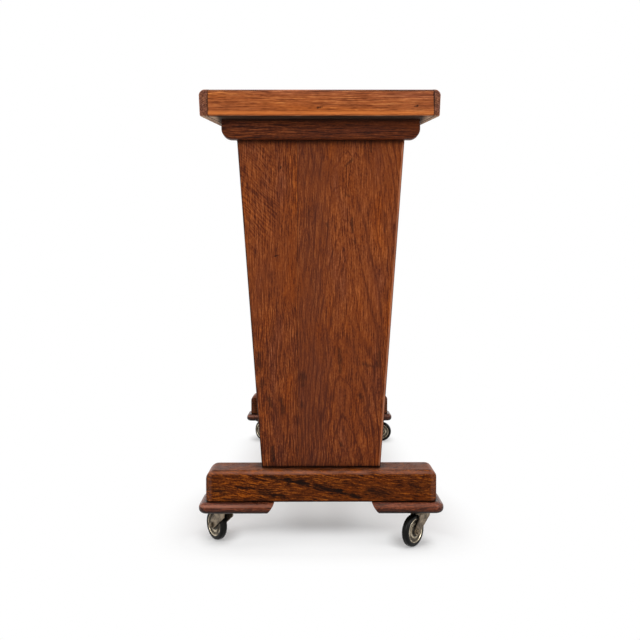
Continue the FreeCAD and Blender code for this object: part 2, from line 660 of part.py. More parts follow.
# One end of the box; the other is the same set of pieces turned round
narrow_tenons = panel_tenons(-92, -54, -132, -58)
wide_tenons = panel_tenons(-26, 92, -24, 132)
housed = front_boards + [back_upper, back_lower] + stiles + list(chutes.values())
end_pieces = {}
narrow_board = make_panel_board(-1, narrow_tenons)
wide_board = make_panel_board(1, wide_tenons)
feet = {
    "right": make_foot(FOOT_FRONT_RADIUS, FOOT_BACK_RADIUS),
    "left": make_foot(FOOT_BACK_RADIUS, FOOT_FRONT_RADIUS),
}
cap = make_cap()
for piece in housed:
    narrow_board = narrow_board.cut(piece)
    wide_board = wide_board.cut(piece)
    # the same boards enter the other end panel, whose narrow board is on the other side
    narrow_board = narrow_board.cut(turned(piece))
    wide_board = wide_board.cut(turned(piece))
for tenons in (narrow_tenons, wide_tenons):
    feet = {end: foot.cut(tenons[0]) for end, foot in feet.items()}
    cap = cap.cut(tenons[1])
for piece in slats + list(rails.values()):
    cap = cap.cut(piece)
end_pieces["end_board_narrow"] = narrow_board
end_pieces["end_board_wide"] = wide_board
end_pieces["cap"] = cap
end_pieces["cleat"] = make_cleat()
for name, shape in end_pieces.items():
    save("right_" + name, shape)
    save("left_" + name, turned(shape))
save("right_foot", feet["right"])
save("left_foot", turned(feet["left"]))
strips = [make_strip(-1, FRONT_STRIP_WIDTH), make_strip(1, BACK_STRIP_WIDTH)]
save("right_cap_strips", *strips)
save("left_cap_strips", *[turned(strip) for strip in strips])

# Pads, each drilled for the screws of its caster
pads = {
    "right_front": make_pad(-1),
    "right_back": make_pad(1),
    "left_front": turned(make_pad(1)),
    "left_back": turned(make_pad(-1)),
}
for name, pad in pads.items():
    caster_x, caster_y, trail_angle = CASTERS[name]
    for x, y in CASTER_SCREWS:
        pad = pad.cut(caster_screw_hole(caster_x + x, caster_y + y))
    end, side = name.split("_")
    save(end + "_pad_" + side, pad)

# Flap with hinges and lock
frame_spans = [(KNUCKLE_ENDS[0], KNUCKLE_ENDS[1]), (KNUCKLE_ENDS[2], KNUCKLE_ENDS[3])]
flap_spans = [(KNUCKLE_ENDS[1] + KNUCKLE_GAP, KNUCKLE_ENDS[2] - KNUCKLE_GAP)]
flap = make_flap()
frame_leaves = []
flap_leaves = []
pins = []
frame_screws = []
flap_screws = []
for y in HINGE_CENTRES_Y:
    frame_leaves.append(on_back(make_hinge_leaf(y, 1, frame_spans), HINGE_AXIS_Z))
    flap_leaves.append(on_back(make_hinge_leaf(y, -1, flap_spans), HINGE_AXIS_Z))
    pins.append(on_back(make_hinge_pin(y), HINGE_AXIS_Z))
    for screw_y, screw_z in hinge_screw_places(y, 1):
        frame_screws.append(on_back(make_hinge_screw(screw_y, screw_z), HINGE_AXIS_Z))
        back_upper = back_upper.cut(on_back(hinge_screw_hole(screw_y, screw_z), HINGE_AXIS_Z))
    for screw_y, screw_z in hinge_screw_places(y, -1):
        flap_screws.append(on_back(make_hinge_screw(screw_y, screw_z), HINGE_AXIS_Z))
        flap = flap.cut(on_back(hinge_screw_hole(screw_y, screw_z), HINGE_AXIS_Z))
flap = flap.cut(on_back(lock_hole(), LOCK_Z))
save("flap", flap)
save("flap_stops", *stops)
save("hinge_frame_leaves", *frame_leaves)
save("hinge_flap_leaves", *flap_leaves)
save("hinge_pins", *pins)
save("hinge_frame_screws", *frame_screws)
save("hinge_flap_screws", *flap_screws)
for name, shape in zip(("cylinder", "nut", "plug", "cam"), make_lock()):
    save("lock_" + name, on_back(shape, LOCK_Z))

# Boards, rails and slats
for name, board in zip(("lower", "middle", "upper"), front_boards):
    save("front_board_" + name, board)
save("back_board_upper", back_upper)
save("back_board_lower", back_lower)
save("back_stiles", *stiles)
save("bottom_board", bottom_board)
save("bottom_bearers", bearer, turned(bearer))
for name, board in chutes.items():
    save(name + "_chute_board", board)
for name, rail in rails.items():
    save(name + "_rail", rail)
save("coin_slats", *slats)

# Casters
swivelling = {"fork": [make_fork()], "axle": make_axle(), "wheel": [make_wheel()], "tyre": [make_tyre()]}
standing = {
    "plates": [make_plate()],
    "kingpins": [make_kingpin()],
    "bearing_balls": make_balls(),
    "screws": [make_caster_screw(x, y) for x, y in CASTER_SCREWS],
}
fixed = {group: [] for group in standing}
for name, place in CASTERS.items():
    for piece, shapes in swivelling.items():
        save("caster_" + name + "_" + piece, *[at_caster(shape, place, True) for shape in shapes])
    for group, shapes in standing.items():
        fixed[group] += [at_caster(shape, place, False) for shape in shapes]
for group, shapes in fixed.items():
    save("caster_" + group, *shapes)
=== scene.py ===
import math
from collections import namedtuple

import bpy
from mathutils import Matrix, Vector


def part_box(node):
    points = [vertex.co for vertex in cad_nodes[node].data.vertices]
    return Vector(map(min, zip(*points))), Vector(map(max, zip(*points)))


# Materials, floor, light and camera for the donation box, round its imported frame
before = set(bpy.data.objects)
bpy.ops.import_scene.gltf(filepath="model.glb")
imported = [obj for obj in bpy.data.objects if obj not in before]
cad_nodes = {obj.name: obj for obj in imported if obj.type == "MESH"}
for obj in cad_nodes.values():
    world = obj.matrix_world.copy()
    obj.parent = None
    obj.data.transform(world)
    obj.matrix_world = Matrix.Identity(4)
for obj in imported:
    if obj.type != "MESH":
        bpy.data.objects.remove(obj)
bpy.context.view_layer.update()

X_AXIS = (1, 0, 0)
Z_AXIS = (0, 0, 1)
WHITE = (1, 1, 1, 1)

# Sockets of the colour mix node
MIX_FACTOR = 0
MIX_A = 6
MIX_B = 7
MIX_RESULT = 2

# Inner corners: rays of the test, and the openness up to which they are full and from which they end
CORNER_RAYS = 6
CORNER_OPENNESS = (0.52, 0.86)


class Graph:
    """One procedural material, built node by node in object coordinates (metres)."""

    def __init__(self, name):
        self.material = bpy.data.materials.new(name)
        self.material.use_nodes = True
        self.tree = self.material.node_tree
        self.tree.nodes.clear()
        self.shader = self.add("ShaderNodeBsdfPrincipled")
        self.output = self.add("ShaderNodeOutputMaterial")
        self.tree.links.new(self.shader.outputs[0], self.output.inputs["Surface"])
        coordinates = self.add("ShaderNodeTexCoord")
        self.point = coordinates.outputs["Object"]
        self.normal = coordinates.outputs["Normal"]

    def add(self, kind, **settings):
        node = self.tree.nodes.new(kind)
        for key, value in settings.items():
            setattr(node, key, value)
        return node

    def feed(self, socket, value):
        """Link a socket into another, or set a constant on it."""
        if isinstance(value, bpy.types.NodeSocket):
            self.tree.links.new(value, socket)
        else:
            socket.default_value = value

    def set(self, **inputs):
        """Feed the shader's sockets, with _ for the blanks in their names."""
        for name, value in inputs.items():
            self.feed(self.shader.inputs[name.replace("_", " ")], value)

    def math(self, operation, a, b=0.0):
        node = self.add("ShaderNodeMath", operation=operation)
        self.feed(node.inputs[0], a)
        self.feed(node.inputs[1], b)
        return node.outputs[0]

    def sum(self, *values):
        total = values[0]
        for value in values[1:]:
            total = self.math("ADD", total, value)
        return total

    def times(self, *values):
        total = values[0]
        for value in values[1:]:
            total = self.math("MULTIPLY", total, value)
        return total

    def size(self, value):
        """A value without its sign."""
        return self.math("ABSOLUTE", value)

    def length(self, *parts):
        """The length of a vector with the given parts."""
        return self.math("SQRT", self.sum(*(self.times(part, part) for part in parts)))

    def dot(self, parts, direction):
        """Parts by the names of their axes, measured along a fixed direction."""
        return self.sum(*(self.times(parts[axis], share) for axis, share in zip("XYZ", direction)))

    def centred(self, value):
        """A value from 0 to 1, moved to lie round 0."""
        return self.math("SUBTRACT", value, 0.5)

    def rise(self, value, low, high, to=1.0):
        """0 up to low, to from high on, smooth between."""
        node = self.add("ShaderNodeMapRange", interpolation_type="SMOOTHSTEP")
        self.feed(node.inputs["Value"], value)
        self.feed(node.inputs["From Min"], low)
        self.feed(node.inputs["From Max"], high)
        self.feed(node.inputs["To Max"], to)
        return node.outputs["Result"]

    def fall(self, value, low, high):
        """1 up to low, 0 from high on, smooth between."""
        return self.math("SUBTRACT", 1.0, self.rise(value, low, high))

    def split(self, vector):
        node = self.add("ShaderNodeSeparateXYZ")
        self.feed(node.inputs[0], vector)
        return dict(zip("XYZ", node.outputs))

    def join(self, x, y, z):
        node = self.add("ShaderNodeCombineXYZ")
        for socket, value in zip(node.inputs, (x, y, z)):
            self.feed(socket, value)
        return node.outputs[0]

    def noise(self, vector, scale=1.0, detail=2.0, roughness=0.5, seed=0.0):
        node = self.add("ShaderNodeTexNoise", noise_dimensions="4D")
        self.feed(node.inputs["Vector"], vector)
        self.feed(node.inputs["W"], seed)
        self.feed(node.inputs["Scale"], scale)
        self.feed(node.inputs["Detail"], detail)
        self.feed(node.inputs["Roughness"], roughness)
        return node.outputs[0]

    def mix(self, factor, a, b, blend="MIX"):
        node = self.add("ShaderNodeMix", data_type="RGBA", blend_type=blend)
        self.feed(node.inputs[MIX_FACTOR], factor)
        self.feed(node.inputs[MIX_A], a)
        self.feed(node.inputs[MIX_B], b)
        return node.outputs[MIX_RESULT]

    def crevice(self, distance):
        """1 in inner corners, 0 on open faces."""
        node = self.add("ShaderNodeAmbientOcclusion", samples=CORNER_RAYS)
        self.feed(node.inputs["Distance"], distance)
        return self.fall(node.outputs["AO"], *CORNER_OPENNESS)

    def bump(self, height, strength, distance):
        node = self.add("ShaderNodeBump")
        self.feed(node.inputs["Strength"], strength)
        self.feed(node.inputs["Distance"], distance)
        self.feed(node.inputs["Height"], height)
        self.set(Normal=node.outputs[0])


# The sRGB curve from values on screen to linear light
SCREEN_WHITE = 255
SRGB_KNEE = 0.04045
SRGB_SLOPE = 12.92
SRGB_OFFSET = 0.055
SRGB_POWER = 2.4


def rgba(red, green, blue):
    """A colour given as it looks on screen, 0 to 255, as linear RGBA."""
    def linear(value):
        value = value / SCREEN_WHITE
        if value <= SRGB_KNEE:
            return value / SRGB_SLOPE
        return ((value + SRGB_OFFSET) / (1.0 + SRGB_OFFSET)) ** SRGB_POWER
    return (linear(red), linear(green), linear(blue), 1.0)


def shades(*colours):
    """Several colours as they look on screen, as linear RGBA."""
    return tuple(rgba(*colour) for colour in colours)


# Woods: dark, middle and light
PANEL = shades((68, 26, 9), (116, 55, 21), (149, 81, 38))
CAP = shades((96, 43, 16), (152, 81, 40), (192, 117, 63))
STRIP = shades((62, 31, 22), (113, 68, 50), (146, 98, 78))
CLEAT = shades((42, 13, 4), (88, 39, 14), (124, 64, 32))
FOOT = shades((34, 10, 2), (95, 43, 9), (152, 80, 22))
PAD = shades((34, 12, 6), (92, 43, 24), (128, 68, 44))
SIDE = shades((70, 28, 10), (112, 53, 22), (144, 78, 38))
RAW = shades((104, 78, 58), (132, 104, 80), (156, 130, 104))
# Unstained undersides: dark and light
BARE = shades((128, 98, 76), (200, 168, 142))
# Metals: clean, stained and dirty
STEEL = shades((150, 134, 112), (108, 93, 74), (34, 26, 18))
WHEEL_STEEL = shades((214, 200, 174), (104, 88, 66), (22, 16, 10))
BRASS = shades((158, 126, 66), (120, 92, 48), (52, 38, 22))
# Rubber: black and gone grey
RUBBER = shades((8, 8, 6), (72, 67, 54))
# Dirt and wear, some of them also painted shade, painted highlights or painted top light; the lip colour is
# a painted highlight
GRIME_AND_SHADE = rgba(20, 8, 4)
WORN_AND_HIGHLIGHT = rgba(178, 118, 86)
SHADE = rgba(36, 17, 10)
DUST_AND_TOP_LIGHT = rgba(138, 101, 84)
DULL = rgba(72, 35, 25)
POLISH_AND_HIGHLIGHT = rgba(160, 106, 86)
LIP_HIGHLIGHT = rgba(206, 118, 56)
# Multipliers that turn a wood's colour to orange or to plum
ORANGE = (1.12, 1.02, 0.62, 1.0)
PLUM = (0.86, 0.90, 1.35, 1.0)

Layer = namedtuple("Layer", "along across detail seed")
Edge = namedtuple("Edge", "normal offset width colour strength")
Mark = namedtuple("Mark", "start end size strength")
Patch = namedtuple("Patch", "along across half_along half_across")

# Layers of the grain's noise: cells per metre along and across, detail, and an offset to the wood's seed
SLOW = Layer(1.6, 7.0, 2.0, 0.0)
WAVE = Layer(4.3, 18.0, 1.0, 7.3)
STRAND = Layer(24.0, 130.0, 2.0, 1.0)
DASH = Layer(42.0, 800.0, 1.0, 1.7)
SPECK = Layer(240.0, 520.0, 1.0, 2.3)
BLOTCH = Layer(10.0, 26.0, 2.0, 3.0)
HUE = Layer(9.0, 34.0, 1.0, 5.0)
PORE = Layer(70.0, 700.0, 1.0, 2.0)
LIVELY = Layer(5.0, 16.0, 1.0, 11.0)
GRAIN_ROUGHNESS = 0.6
# The sway of the whole grain, and how far it goes in metres
SWAY = Layer(11.0, 9.0, 1.0, 13.0)
SWAY_REACH = 0.012
# The ragged outlines of stains
RAGGED = Layer(75.0, 330.0, 3.0, 9.0)
RAGGED_ROUGHNESS = 0.65

# Growth rings: how far noise bends them in metres, and shifts them in rings
BEND_BY_SLOW = 0.034
BEND_BY_WAVE = 0.007
BEND_DEEP_BY_WAVE = 0.022
SHIFT_BY_STRAND = 0.5
SHIFT_BY_SLOW = 1.3
# Growth rings: the least steepness, the line's half width in metres, and the noise that breaks the line
RING_LEAST_STEEP = 0.02
RING_LINE = (0.0004, 0.0026)
RING_BREAKS = (-0.16, 0.10)
# Pores: how much more there are in a ring's line, the noise that makes them, and how dark they are
PORES_IN_RINGS = 0.08
PORE_NOISE = (0.10, 0.18)
PORE_DARKNESS = 0.55

# The tone of the wood: its middle, what each layer adds, and where the fine layers are lively
MIDDLE_TONE = 0.52
TONE_BY_DASH = 2.8
TONE_BY_SPECK = 1.3
TONE_BY_STRAND = 0.25
TONE_BY_BLOTCH = 0.55
LIVELY_LEAST = 0.7
LIVELY_MORE = 0.5
LIVELY_NOISE = (-0.14, 0.16)
# The tones from dark to middle and from middle to light, and the noise that turns the hue
DARK_TO_MIDDLE = (0.02, 0.54)
MIDDLE_TO_LIGHT = (0.50, 1.0)
TO_ORANGE = (0.0, 0.25)
TO_PLUM = (-0.25, 0.0)
# Soil: how much darker the soiled end is, and how far blotches move its heights in metres
SOIL_TONE = -0.16
SOIL_BY_BLOTCH = 0.3
# Black streaks: what the layers add, and the noise that makes them
STREAK_BY_DASH = 0.5
STREAK_BY_BLOTCH = 0.4
STREAK_NOISE = (0.10, 0.22)

# Parts of the normal between which a face turns to an end, to a top, to an underside, to a lower face and
# to an inner face, and how dark the painted shade on an inner face is
END_NORMAL = (0.45, 0.85)
UP_NORMAL = (0.35, 0.9)
DOWN_NORMAL = (-0.85, -0.55)
LOWER_NORMAL = (-0.7, 0.2)
INWARD_NORMAL = (0.3, 0.8)
INWARD_SHADE = 0.5
# The noise that patches the dust and the painted top light
DUST_AND_TOP_LIGHT_NOISE = (-0.20, 0.14)
# Roughness: what pores, blotches, dust and bare wood add
ROUGH_BY_PORES = 0.2
ROUGH_BY_BLOTCH = 0.35
ROUGH_BY_DUST = 0.15
ROUGH_BY_BARE = 0.25
# Bare undersides: the tones from dark to light, and the strength and fading width of their shade
BARE_TONES = (0.1, 0.9)
BARE_SHADE = 0.92
BARE_FADE = 0.012
# Lines along edges: raggedness and solid core as shares of their width, and the noise that breaks them;
# a face whose normal lies this far along the line's own has no line
EDGE_RAGGED = 1.6
EDGE_CORE = 0.3
EDGE_BREAKS = (-0.25, 0.05)
EDGE_NORMAL = (0.9, 0.98)
# How dark the painted shade in inner corners is
CORNER_SHADE = 0.92
# Relief of the wood: what the layers add, its strength, and its height in metres
RELIEF_BY_PORES = -1.0
RELIEF_BY_RINGS = -0.3
RELIEF_BY_DASH = 1.2
RELIEF_BY_BLOTCH = 1.5
RELIEF_STRENGTH = 0.4
RELIEF_HEIGHT = 0.0006


def oak(name, axes, tones, seed, heart, drift, rings, slope=0.0, stretch=1.0, contrast=1.0, gloss=0.45,
        shine=0.10, figure=0.15, streaks=0.0, rays=None, soil=None, bare_below=False, shaded=0.0, dust_and_top_light=0.0,
        shade_below=0.0, inner=0.0, end_grain=0.0, end_tones=None, corner=0.010, mirrored=False, marks=(),
        edges=()):
    """Stained oak.

    axes: the directions along the grain, across it and into the board; slope tilts the grain, the other way
    on the other side of the middle where it is mirrored. stretch: how much shorter the grain is.
    tones: its dark, middle and light. contrast: how far the tones differ.
    heart, drift: the heart of the tree in (across, deep) and its drift along the board; rings are per metre.
    gloss: the roughness of the varnish. shine: its specular level.
    figure: how much darker the line of a ring is. streaks: how strong the black streaks are.
    rays: a patch of ray flecks. soil: heights between which the board darkens downwards.
    bare_below: whether the underside is bare; shaded: half the width in X over which it has painted shade.
    dust: how much dust and painted top light lie on the upper faces. shade_below: how much painted shade
    darkens the lower faces.
    inner: 1 or -1 where the faces towards +Y or -Y have painted shade. end_grain: how much darker the ends
    are.
    end_tones: the tones of the ends, where they differ from the rest.
    corner: reach of the painted shade in inner corners. marks: stains. edges: lines of dirt, wear, painted
    shade and painted highlights.
    """
    g = Graph(name)
    place = g.split(g.point)
    normal = g.split(g.normal)
    along, across, deep = (place[axis] for axis in axes)
    if mirrored:
        across = g.size(across)
    across = g.sum(across, g.times(along, slope))

    def cells(layer):
        return g.join(g.times(along, layer.along * stretch), g.times(across, layer.across),
                      g.times(deep, layer.across))

    def grain(layer):
        return g.centred(g.noise(cells(layer), detail=layer.detail, roughness=GRAIN_ROUGHNESS,
                                 seed=seed + layer.seed))

    sway = g.noise(cells(SWAY), detail=SWAY.detail, seed=seed + SWAY.seed)
    across = g.sum(across, g.times(sway, SWAY_REACH))
    slow = grain(SLOW)
    wave = grain(WAVE)
    strand = grain(STRAND)
    dash = grain(DASH)
    speck = grain(SPECK)
    blotch = grain(BLOTCH)
    hue = grain(HUE)

    # the early wood of the growth rings, whose pores show as short dark dashes
    u = g.sum(across, -heart[0], g.times(along, drift[0]), g.times(slow, BEND_BY_SLOW),
              g.times(wave, BEND_BY_WAVE))
    v = g.sum(deep, -heart[1], g.times(along, drift[1]), g.times(wave, BEND_DEEP_BY_WAVE))
    shift = g.sum(g.times(strand, SHIFT_BY_STRAND), g.times(slow, SHIFT_BY_SLOW))
    early = g.times(ring_lines(g, u, v, drift, rings, shift),
                    g.rise(g.sum(dash, speck, blotch), *RING_BREAKS))
    pores = g.rise(g.sum(grain(PORE), g.times(early, PORES_IN_RINGS)), *PORE_NOISE)

    fine = g.sum(g.times(dash, TONE_BY_DASH), g.times(speck, TONE_BY_SPECK))
    lively = g.sum(LIVELY_LEAST, g.rise(grain(LIVELY), *LIVELY_NOISE, to=LIVELY_MORE))
    tone = g.sum(g.times(fine, lively), g.times(strand, TONE_BY_STRAND), g.times(blotch, TONE_BY_BLOTCH),
                 g.times(early, -figure))
    tone = g.sum(MIDDLE_TONE, g.times(tone, contrast))
    if rays:
        tone = g.sum(tone, ray_flecks(g, along, across, blotch, wave, rays, seed))
    if soil:
        level = g.sum(place["Z"], g.times(blotch, SOIL_BY_BLOTCH))
        tone = g.sum(tone, g.times(g.fall(level, *soil), SOIL_TONE))

    dark, middle, light = tones
    at_end = g.rise(g.size(normal[axes[0]]), *END_NORMAL)
    if end_tones:
        dark, middle, light = (g.mix(at_end, side, end) for side, end in zip(tones, end_tones))
    colour = g.mix(g.rise(tone, *DARK_TO_MIDDLE), dark, middle)
    colour = g.mix(g.rise(tone, *MIDDLE_TO_LIGHT), colour, light)
    colour = g.mix(g.rise(hue, *TO_ORANGE), colour, ORANGE, "MULTIPLY")
    colour = g.mix(g.fall(hue, *TO_PLUM), colour, PLUM, "MULTIPLY")
    colour = g.mix(g.times(pores, PORE_DARKNESS * contrast), colour, dark)
    if streaks:
        streak = g.sum(strand, g.times(dash, STREAK_BY_DASH), g.times(blotch, STREAK_BY_BLOTCH))
        colour = g.mix(g.rise(streak, *STREAK_NOISE, to=streaks), colour, GRIME_AND_SHADE)

    roughness = g.sum(gloss, g.times(pores, ROUGH_BY_PORES), g.times(blotch, ROUGH_BY_BLOTCH))
    # Dust and painted top light on the upper faces, in patches
    if dust_and_top_light:
        patches = g.rise(g.sum(blotch, strand), *DUST_AND_TOP_LIGHT_NOISE, to=dust_and_top_light)
        dusty_lit_top = g.times(g.rise(normal["Z"], *UP_NORMAL), patches)
        colour = g.mix(dusty_lit_top, colour, DUST_AND_TOP_LIGHT)
        roughness = g.sum(roughness, g.times(dusty_lit_top, ROUGH_BY_DUST))
    if bare_below:
        bare = g.fall(normal["Z"], *DOWN_NORMAL)
        colour = g.mix(bare, colour, g.mix(g.rise(tone, *BARE_TONES), *BARE))
        roughness = g.sum(roughness, g.times(bare, ROUGH_BY_BARE))
        # Painted shade on the underside near the cleat
        dim = g.fall(g.size(place["X"]), shaded, shaded + BARE_FADE)
        colour = g.mix(g.times(bare, dim, BARE_SHADE), colour, SHADE)
    if shade_below:
        colour = g.mix(g.times(g.fall(normal["Z"], *LOWER_NORMAL), shade_below), colour, GRIME_AND_SHADE)
    # Painted shade on the inner faces
    if inner:
        inward = g.rise(g.times(normal["Y"], inner), *INWARD_NORMAL, to=INWARD_SHADE)
        colour = g.mix(inward, colour, SHADE)
    if end_grain:
        colour = g.mix(g.times(at_end, end_grain), colour, dark)

    if marks:
        flat = g.join(g.times(along, RAGGED.along), g.times(across, RAGGED.across), 0.0)
        ragged = g.centred(g.noise(flat, detail=RAGGED.detail, roughness=RAGGED_ROUGHNESS,
                                   seed=seed + RAGGED.seed))
    for mark in marks:
        shape = stain(g, place, mark, ragged)
        colour = g.mix(g.times(shape, mark.strength), colour, GRIME_AND_SHADE)
    for edge in edges:
        away = g.size(g.sum(g.dot(place, edge.normal), -edge.offset))
        away = g.sum(away, g.times(dash, edge.width * EDGE_RAGGED))
        line = g.fall(away, edge.width * EDGE_CORE, edge.width)
        broken = g.rise(blotch, *EDGE_BREAKS, to=edge.strength)
        beside = g.fall(g.size(g.dot(normal, edge.normal)), *EDGE_NORMAL)
        colour = g.mix(g.times(line, g.times(broken, beside)), colour, edge.colour)
    # Painted shade in inner corners and joints, darker the more closed in they are
    colour = g.mix(g.times(g.crevice(corner), CORNER_SHADE), colour, GRIME_AND_SHADE)
    relief = g.sum(g.times(pores, RELIEF_BY_PORES), g.times(early, RELIEF_BY_RINGS),
                   g.times(dash, RELIEF_BY_DASH), g.times(blotch, RELIEF_BY_BLOTCH))
    g.set(Base_Color=colour, Roughness=roughness, Specular_IOR_Level=shine)
    g.bump(relief, RELIEF_STRENGTH, RELIEF_HEIGHT)
    return g.material


def ring_lines(g, u, v, drift, rings, shift):
    """Growth rings round the heart, which lies at u = v = 0, drawn as lines of even width.

    A line lies where one ring ends and the next begins.
    """
    radius = g.length(u, v)
    climb = g.sum(g.times(u, drift[0]), g.times(v, drift[1]))
    steep = g.math("DIVIDE", g.length(u, climb), radius)
    ring = g.math("FRACT", g.sum(g.times(radius, rings), shift))
    ring = g.math("SUBTRACT", 0.5, g.size(g.centred(ring)))
    gap = g.math("DIVIDE", ring, g.times(g.sum(steep, RING_LEAST_STEEP), rings))
    return g.fall(gap, *RING_LINE)


# Ray flecks: cells per metre across the lines and along them, and how far waves bend the lines
FLECK_CELLS_ALONG = 260.0
FLECK_CELLS_ACROSS = 210.0
FLECK_RUN_ACROSS = 26.0
FLECK_RUN_ALONG = -22.0
FLECK_BY_WAVE = 9.0
# Ray flecks: their noise, seed and tone, and the soft outline of their patch
FLECK_NOISE = (0.38, 0.62)
FLECK_SEED = 4.0
FLECK_TONE = 0.42
PATCH_BY_BLOTCH = 2.0
PATCH_OUTLINE = (0.2, 1.3)


def ray_flecks(g, along, across, blotch, wave, patch, seed):
    """Thin slanting wavy lines in an oval patch, as a change of tone."""
    a = g.times(g.math("SUBTRACT", along, patch.along), 1.0 / patch.half_along)
    b = g.times(g.math("SUBTRACT", across, patch.across), 1.0 / patch.half_across)
    outward = g.sum(g.times(a, a), g.times(b, b), g.times(blotch, PATCH_BY_BLOTCH))
    inside = g.fall(outward, *PATCH_OUTLINE)
    over = g.sum(g.times(along, FLECK_CELLS_ALONG), g.times(across, FLECK_CELLS_ACROSS),
                 g.times(wave, FLECK_BY_WAVE))
    run = g.sum(g.times(across, FLECK_RUN_ACROSS), g.times(along, FLECK_RUN_ALONG))
    fleck = g.rise(g.noise(g.join(over, run, 0.0), detail=1.0, seed=seed + FLECK_SEED), *FLECK_NOISE)
    return g.times(g.centred(fleck), inside, FLECK_TONE)


# Stains: raggedness and solid core as shares of their size, and the least length in metres
STAIN_RAGGED = 4.0
STAIN_CORE = 0.05
STAIN_LEAST_LENGTH = 1e-6


def stain(g, place, mark, ragged):
    """A ragged stain between two points given as (X, Z) in metres, seen from the end of the box."""
    run = Vector(mark.end) - Vector(mark.start)
    length = max(run.length, STAIN_LEAST_LENGTH)
    run = run / length
    dx = g.math("SUBTRACT", place["X"], mark.start[0])
    dz = g.math("SUBTRACT", place["Z"], mark.start[1])
    t = g.sum(g.times(dx, run.x), g.times(dz, run.y))
    t = g.math("MINIMUM", g.math("MAXIMUM", t, 0.0), length)
    ex = g.math("SUBTRACT", dx, g.times(t, run.x))
    ez = g.math("SUBTRACT", dz, g.times(t, run.y))
    gap = g.sum(g.length(ex, ez), g.times(ragged, mark.size * STAIN_RAGGED))
    return g.fall(gap, mark.size * STAIN_CORE, mark.size)


# Metal: cells per metre of its stains, specks and upright scratches
STAIN_CELLS = 60.0
SPECK_CELLS = 420.0
SCRATCH_CELLS_FLAT = 260.0
SCRATCH_CELLS_UPRIGHT = 1900.0
# Metal: what makes stains, scratches and grime, and how strong scratches and grime in corners are
STAINED_NOISE = (0.35, 0.65)
SCRATCH_NOISE = (0.60, 0.72)
SCRATCH_BRIGHT = 0.4
GRIME_BY_CLOUD = 0.5
GRIME_BY_SPECK = 0.5
GRIME_NOISE = (0.48, 0.62)
METAL_CORNER_GRIME = 0.95
# Grooves of a wheel's disc, as shares of its radius, with their soft border, wobble and grime
WHEEL_GROOVES = ((0.37, 0.51), (0.71, 0.85))
GROOVE_BORDER = 0.04
GROOVE_WOBBLE = 0.06
GROOVE_GRIME = 0.85
# Metal: what grime takes from the metal, what grime and specks add to its roughness, and its relief
GRIME_DULLS = -0.8
METAL_ROUGH_BY_GRIME = 0.4
METAL_ROUGH_BY_SPECK = 0.25
METAL_RELIEF_BY_GRIME = -1.0
METAL_RELIEF_BY_SPECK = 0.5
METAL_RELIEF_BY_SCRATCH = 0.3
METAL_RELIEF_STRENGTH = 0.25
METAL_RELIEF_HEIGHT = 0.0003


def aged_metal(name, tones, seed, gloss=0.36, grime=0.7, metallic=0.8, corner=0.006, dish=None, reach=0.0):
    """Plated steel or brass with stains, grime in patches and corners, and fine scratches.

    tones: clean, stained and dirty. gloss: the roughness where it is clean. grime: strength of the patches.
    metallic: how much of a metal it is where it is clean. corner: reach of the grime in corners.
    dish: the centre of a wheel whose grooves are dirty; reach: its radius.
    """
    g = Graph(name)
    place = g.split(g.point)
    cloud = g.noise(g.point, STAIN_CELLS, detail=4.0, roughness=0.6, seed=seed)
    speck = g.noise(g.point, SPECK_CELLS, detail=3.0, roughness=0.65, seed=seed + 1.0)
    brushed = g.join(g.times(place["X"], SCRATCH_CELLS_FLAT), g.times(place["Y"], SCRATCH_CELLS_FLAT),
                     g.times(place["Z"], SCRATCH_CELLS_UPRIGHT))
    scratch = g.noise(brushed, seed=seed + 2.0)
    clean, stained, dirt = tones
    colour = g.mix(g.rise(cloud, *STAINED_NOISE), clean, stained)
    colour = g.mix(g.rise(scratch, *SCRATCH_NOISE, to=SCRATCH_BRIGHT), colour, clean)
    patches = g.sum(g.times(cloud, GRIME_BY_CLOUD), g.times(speck, GRIME_BY_SPECK))
    dirty = g.times(g.rise(patches, *GRIME_NOISE), grime)
    dirty = g.math("MAXIMUM", dirty, g.times(g.crevice(corner), METAL_CORNER_GRIME))
    if dish is not None:
        out = g.length(*(g.sum(place[axis], -middle) for axis, middle in zip("XYZ", dish)))
        out = g.sum(g.times(out, 1.0 / reach), g.times(g.centred(cloud), GROOVE_WOBBLE))
        for low, high in WHEEL_GROOVES:
            groove = g.times(g.rise(out, low - GROOVE_BORDER, low + GROOVE_BORDER),
                             g.fall(out, high - GROOVE_BORDER, high + GROOVE_BORDER))
            dirty = g.math("MAXIMUM", dirty, g.times(groove, GROOVE_GRIME))
    roughness = g.sum(gloss, g.times(dirty, METAL_ROUGH_BY_GRIME),
                      g.times(g.centred(speck), METAL_ROUGH_BY_SPECK))
    g.set(Base_Color=g.mix(dirty, colour, dirt), Roughness=roughness,
          Metallic=g.sum(metallic, g.times(dirty, GRIME_DULLS * metallic)))
    relief = g.sum(g.times(dirty, METAL_RELIEF_BY_GRIME), g.times(speck, METAL_RELIEF_BY_SPECK),
                   g.times(scratch, METAL_RELIEF_BY_SCRATCH))
    g.bump(relief, METAL_RELIEF_STRENGTH, METAL_RELIEF_HEIGHT)
    return g.material


# Rubber: cells per metre of its clouds and cracks, what makes it grey and rough, and its relief
RUBBER_CLOUD_CELLS = 90.0
RUBBER_CRACK_CELLS = 900.0
GREY_BY_CLOUD = 0.7
GREY_BY_CRACK = 0.3
GREY_NOISE = (0.48, 0.72)
GREY_SHARE = 0.16
RUBBER_GLOSS = 0.28
RUBBER_SHINE = 0.13
RUBBER_ROUGH_BY_GREY = 0.4
RUBBER_RELIEF_BY_CRACK = 0.6
RUBBER_RELIEF_STRENGTH = 0.3
RUBBER_RELIEF_HEIGHT = 0.0003


